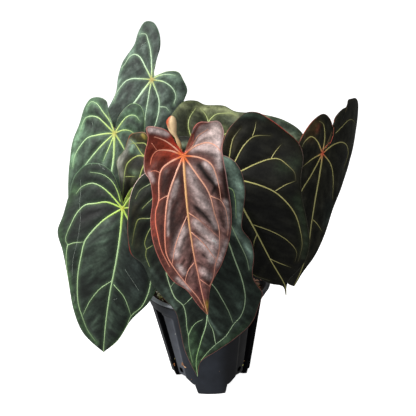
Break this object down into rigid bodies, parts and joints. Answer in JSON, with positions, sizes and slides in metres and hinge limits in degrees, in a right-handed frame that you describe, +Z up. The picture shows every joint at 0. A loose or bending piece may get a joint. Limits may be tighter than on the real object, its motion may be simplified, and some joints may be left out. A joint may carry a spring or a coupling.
{
  "type": "potted anthurium",
  "caption": "Potted anthurium hybrid: velvety heart-shaped leaves on long stalks rise from one crown in a fluted nursery pot of bark mix.",
  "frame": {"origin": "on the floor plane under the middle of the whole plant's box; the pot's axis stands a little behind and to the left of it", "axes": "+Z up along the pot's axis, -Y toward the viewer, whom most leaf faces meet, +X to the viewer's right"},
  "size_m": [0.3174, 0.201, 0.3813],
  "materials": {
    "blade_green": "velvety dark green with pale veins",
    "blade_black": "velvety near-black green with olive veins and a thin red margin",
    "blade_olive": "soft olive green with lime veins",
    "blade_bronze": "glossy red bronze with orange veins",
    "new_leaf": "smooth cream with a red-orange rolled edge",
    "stalk_green": "satin green",
    "stalk_red": "satin red brown",
    "crown": "dry and fibrous",
    "soil": "coarse bark and pumice mix",
    "pot": "satin slate black"
  },
  "bodies": {
    "root": {"pot": "pot", "soil": "soil", "crown": "crown", "stalk_top_left": "stalk_green", "stalk_middle_left": "stalk_green", "stalk_low_left": "stalk_green", "stalk_front": "stalk_green", "stalk_inner_left": "stalk_green", "stalk_bronze": "stalk_red", "stalk_back_right": "stalk_green", "stalk_right": "stalk_green", "stalk_far_right": "stalk_green", "stalk_new": "stalk_red", "leaf_top_left": "blade_green", "leaf_middle_left": "blade_green", "leaf_low_left": "blade_green", "leaf_front": "blade_green", "leaf_inner_left": "blade_olive", "leaf_bronze": "blade_bronze", "leaf_back_right": "blade_olive", "leaf_right": "blade_black", "leaf_far_right": "blade_black", "leaf_new": "new_leaf"}
  },
  "joints": []
}
